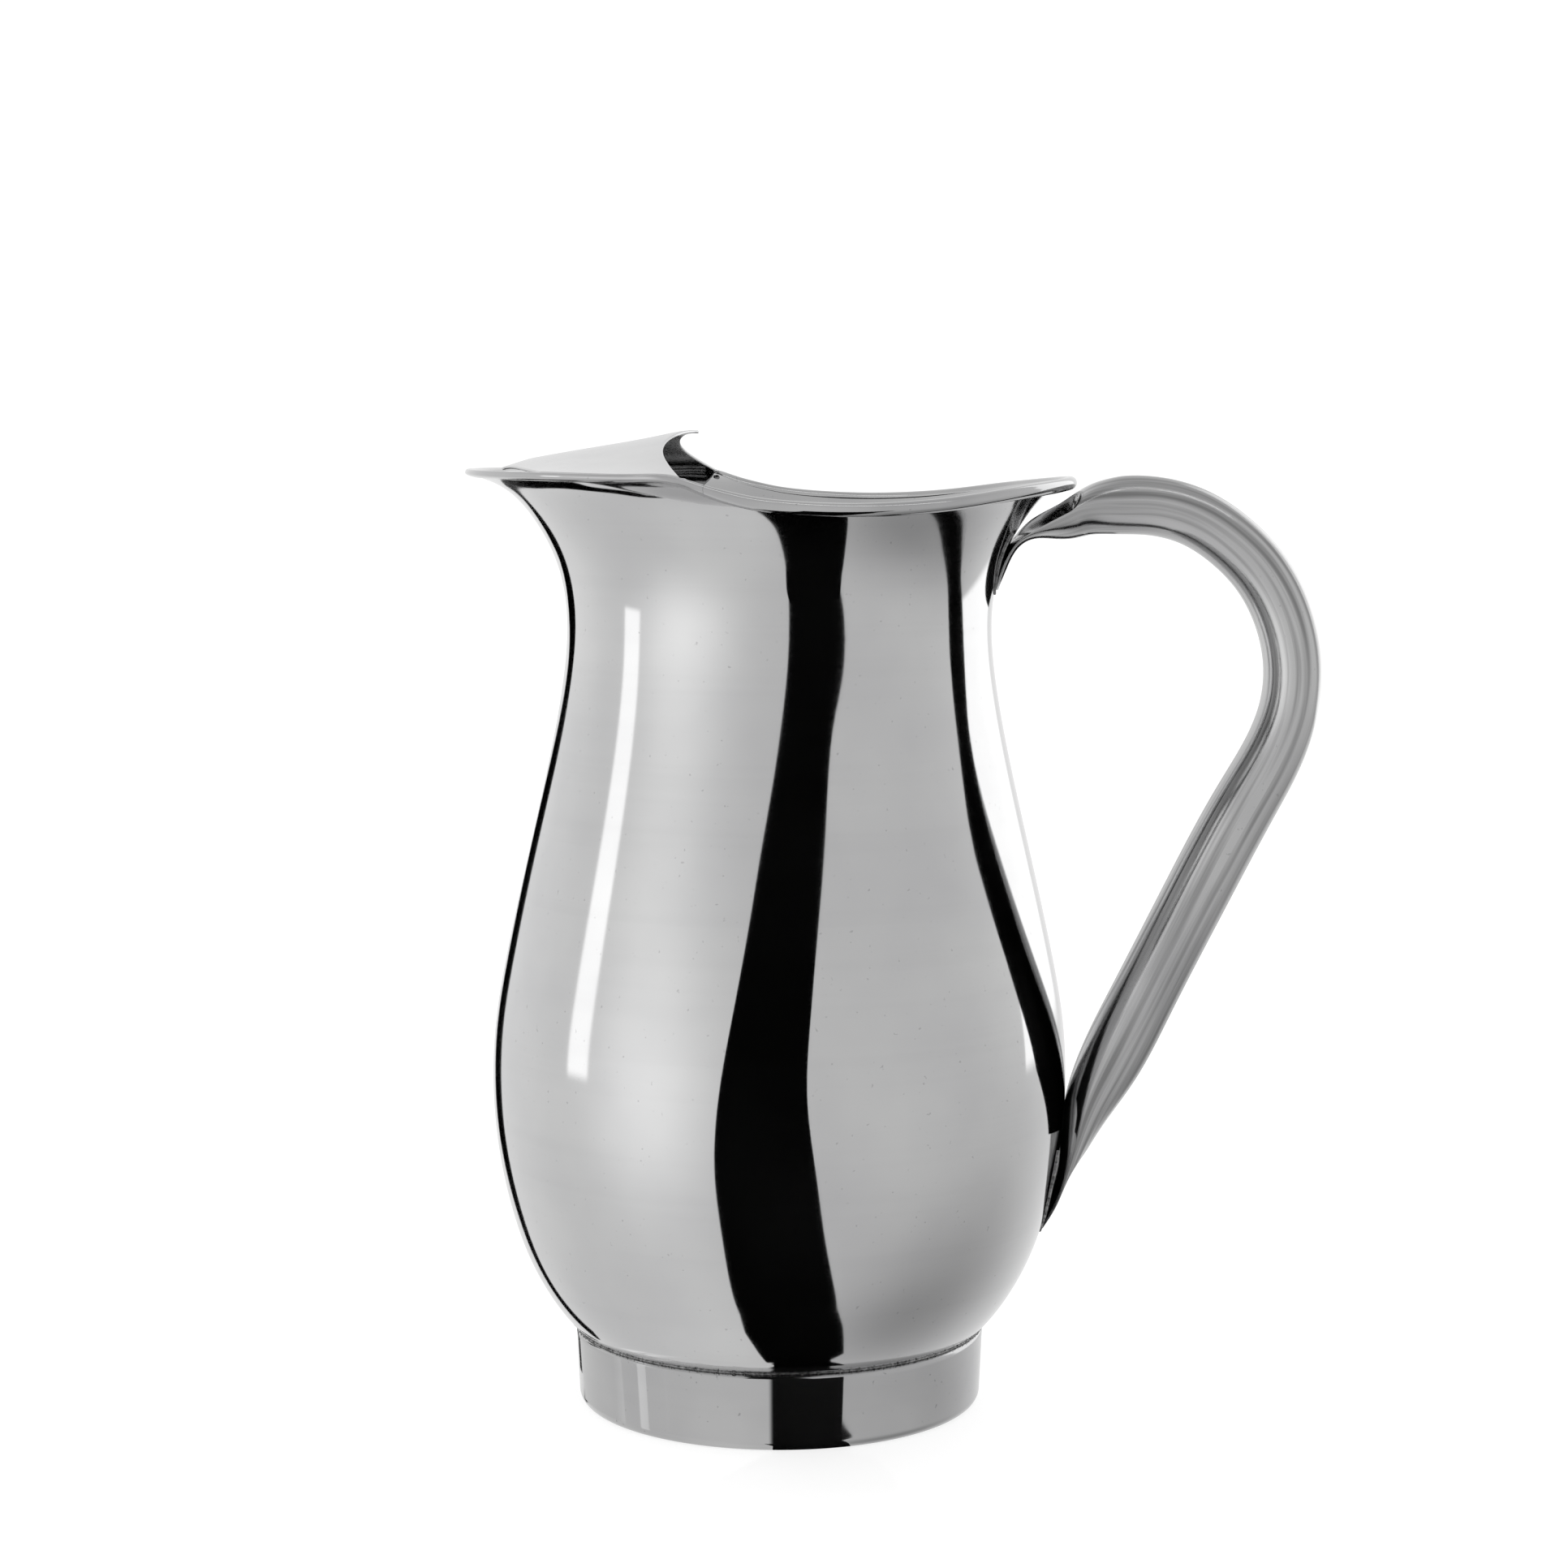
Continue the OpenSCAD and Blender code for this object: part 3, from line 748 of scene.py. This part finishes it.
def buildHandle():
    path, turn = handlePath(handle["rings"])
    w = np.linspace(0, 2 * np.pi, handle["sides"], endpoint=False)
    c, s = np.cos(w), np.sin(w)
    rings = []
    for (x, z, inner, wide, outer), t in zip(path, turn):
        inner = max(inner, 0.5)
        end = handle["scoopEnd"] - handle["scoopRound"] * (c + 0.3) ** 2  # the dish ends in a curve
        dished = ease((end - x) / 3 + 0.5) * ease((0.8 - c) / 0.7)
        dished = dished * ease((x - handle["scoopStart"]) / 5)
        dish = -min(inner * 0.6, handle["scoopDepth"]) * (1 - c * c)
        top = max(outer, 0.4) * s * (1 - dished) + dish * dished
        out = np.where(s > 0, top, inner * s)
        rolled = ease((x - handle["rollFrom"]) / 5) * ease((handle["rollTo"] - x) / 9) if z > 185 else 0
        roll = math.radians(handle["roll"]) * rolled
        across = wide * c * math.cos(roll) - out * math.sin(roll)
        along = out * math.cos(roll) + wide * c * math.sin(roll)
        ring = np.stack([x - t[1] * along, across, z + t[0] * along], -1)
        reach = np.hypot(ring[:, 0], ring[:, 1])
        need = radiusAt(ring[:, 2]) + 0.03
        ring[:, :2] *= np.where(reach < need, need / np.maximum(reach, 1), 1)[:, None]  # lies on the body
        rings.append(ring * mm)
    piece = sweptRings("handle_bent_tube", rings, handleMetal)
    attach(piece, "root")
    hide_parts("handle_tube")


shade = {"rows": [(210, -14, 12), (190, -14, 12), (178, -14, 9), (169, -16.6, 1), (152, -24, -4),
                  (142, -26, -6), (113, -25, -8), (82, -26, -8.5), (62, -20, -9), (40, -14, -6)],
         "first": 14, "last": 72}  # rings of 80 along the handle


def buildHandleShade():  # a flag between body and handle, dark only towards the body
    path, turn = handlePath(80)
    heights, near, far = np.array(shade["rows"][::-1]).T
    rows = []
    for (x, z, inner, wide, outer), t in list(zip(path, turn))[shade["first"]:shade["last"]]:
        px, pz = x + t[1] * (inner + 1), z - t[0] * (inner + 1)
        rows.append(((px, np.interp(pz, heights, near), pz), (px, np.interp(pz, heights, far), pz)))
    card("handleShade", rows, 0, oneSided=True)


buildHandle()
buildHandleShade()
print("scene: handle ready")


# The foot and its solder seam

foot = {"radius": 47.2, "collar": (footHigh.y - footLow.y) / 2 / mm, "height": footHigh.z / mm, "edge": 2.6,
        "flange": 38, "wall": 1.2, "segments": 256, "arc": 16}


def footOutline():
    f = foot
    arc = np.radians(np.linspace(-90, 0, f["arc"]))
    middle = np.array([f["radius"] - f["edge"], f["edge"]])
    spin = np.stack([np.cos(arc), np.sin(arc)], 1)
    outside = [(f["flange"], 0)] + (middle + f["edge"] * spin).tolist()
    climb = [(f["radius"] + (f["collar"] - f["radius"]) * t, f["edge"] + (f["height"] - f["edge"]) * t)
             for t in np.linspace(0, 1, 9)[1:]]
    inside = [(f["collar"] - 0.5, f["height"] - 0.35), (f["collar"] - f["wall"], f["height"] - 1.6)]
    back = (middle + (f["edge"] - f["wall"]) * spin)[::-1].tolist()
    return outside + climb + inside + back + [(f["flange"], f["wall"])]


def buildFoot():
    ring = polyline("foot_outline", [(r * mm, 0, z * mm) for r, z in footOutline()], closed=True)
    piece = grown("collar_foot", ring, latheTree(footMetal), {"Segments": foot["segments"]})
    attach(piece, "root")
    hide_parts("foot_ring")


buildFoot()
print("scene: foot ready")


# Solder: uneven runs with loose crumbs, and a drop behind each back corner of the guard

def seamTree(material):  # a bead of uneven thickness along the line, with crumbs of solder over it
    tree, graph, given = geometryTree("seam", {
        "Bead": "Float", "Uneven": "Float", "Grain": "Float", "Crumbs": "Int", "Crumb Size": "Float",
        "Stray": "Float", "Seed": "Int"})
    line = graph.add("GeometryNodeMeshToCurve", None, {0: given["Geometry"]})
    wobble = graph.add("ShaderNodeTexNoise", {"noise_dimensions": "3D"},
                       {"Scale": given["Grain"], "Detail": 3.0})
    thick = 1 + (wobble - 0.5) * given["Uneven"]
    sized = graph.add("GeometryNodeSetCurveRadius", None, {0: line, "Radius": thick})
    ring = graph.add("GeometryNodeCurvePrimitiveCircle", None, {"Resolution": 12, "Radius": given["Bead"]})
    bead = graph.add("GeometryNodeCurveToMesh", None, {0: sized, 1: ring, "Fill Caps": True})
    dots = graph.add("GeometryNodeCurveToPoints", {"mode": "COUNT"}, {0: line, "Count": given["Crumbs"]})
    stray = graph.add("FunctionNodeRandomValue", {"data_type": "FLOAT_VECTOR"},
                      {0: (-1, -1, -1), 1: (1, 1, 1), "Seed": given["Seed"]})
    offset = graph.add("ShaderNodeVectorMath", {"operation": "SCALE"}, {0: stray, "Scale": given["Stray"]})
    moved = graph.add("GeometryNodeSetPosition", None, {0: dots, "Offset": offset})
    size = graph.add("FunctionNodeRandomValue", {"data_type": "FLOAT"}, out=1, sockets={
        2: given["Crumb Size"] * 0.3, 3: given["Crumb Size"], "Seed": given["Seed"] + 7})
    lump = graph.add("GeometryNodeMeshIcoSphere", None, {"Radius": 1.0, "Subdivisions": 1})
    spread = graph.add("GeometryNodeInstanceOnPoints", None, {0: moved, "Instance": lump, "Scale": size})
    both = graph.add("GeometryNodeJoinGeometry", None, {0: bead})
    graph.tree.links.new(spread.socket, both.socket.node.inputs[0])
    finishTree(graph, both, material)
    return tree


# bead, crumb and stray are in mm, and grain is how fine the unevenness is
seam = {"Bead": 0.22, "Uneven": 1.4, "Grain": 1500.0, "Crumbs": 1800, "Crumb Size": 0.17, "Stray": 0.34,
        "Seed": 11}
run = {"Bead": 0.3, "Uneven": 0.9, "Grain": 700.0, "Crumbs": 110, "Crumb Size": 0.18, "Stray": 0.2,
       "Seed": 23}
# size and forward are parts of the half box of the CAD drop
cornerDrop = {"size": (0.55, 0.55, 0.6), "forward": 0.8, "lumpy": 0.12, "lumps": 1.7}


def soldered(name, node, points, look, closed):
    line = polyline(name + "_line", points, closed)
    lengths = {key: look[key] * mm for key in ("Bead", "Crumb Size", "Stray")}
    piece = grown(name, line, seamTree(solderMetal), look | lengths)
    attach(piece, "root")
    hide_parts(node)


def buildSeams():
    a = np.linspace(0, 2 * np.pi, 1440, endpoint=False)
    circle = around(np.full(len(a), foot["collar"] - 0.1), foot["height"] + 0.12, a)
    soldered("foot_seam", "foot_solder", circle, seam, True)
    path, turn = handlePath(480)
    top, bottom = path[(path[:, 1] < 204.5) & (path[:, 0] < 57)], path[path[:, 1] < 62][::-1]
    for name, node, part in (("handle_top_seam", "handle_top_solder", top[top[:, 1] > 180]),
                             ("handle_bottom_seam", "handle_bottom_solder", bottom)):
        side = np.array([[x, wide + 0.1, z] for x, z, inner, wide, outer in part])
        nose = side[:1]
        tip = [[nose[0, 0], nose[0, 1] * math.cos(t), nose[0, 2] - 1.2 * math.sin(t)]
               for t in np.linspace(0.15, math.pi - 0.15, 24)]
        loop = np.concatenate([side[::-1], tip, side * [1, -1, 1]])
        reach = radiusAt(loop[:, 2]) + 0.15
        loop[:, 0] = np.sqrt(np.maximum(1, reach ** 2 - loop[:, 1] ** 2))
        soldered(name, node, loop * mm, run, False)


def buildDrops():
    for name, node, side in (("guard_drop_left", "guard_solder_left", 1),
                             ("guard_drop_right", "guard_solder_right", -1)):
        low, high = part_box(node)
        middle, half = (low + high) / 2, (high - low) / 2
        bpy.ops.mesh.primitive_ico_sphere_add(subdivisions=4, radius=1)
        piece = bpy.context.object
        piece.name = name
        middle.x -= half.x * cornerDrop["forward"]
        for vertex in piece.data.vertices:
            bump = noise.noise(vertex.co * cornerDrop["lumps"] + Vector((side, 0, 3)))
            lumpy = 1 - cornerDrop["lumpy"] * bump
            vertex.co = middle + vertex.co * lumpy * half * Vector(cornerDrop["size"])
        piece.data.materials.append(rimMetal)
        piece.data.polygons.foreach_set("use_smooth", [True] * len(piece.data.polygons))
        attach(piece, "root")
        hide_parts(node)


buildSeams()
buildDrops()
print("scene: solder ready")

bpy.context.view_layer.update()
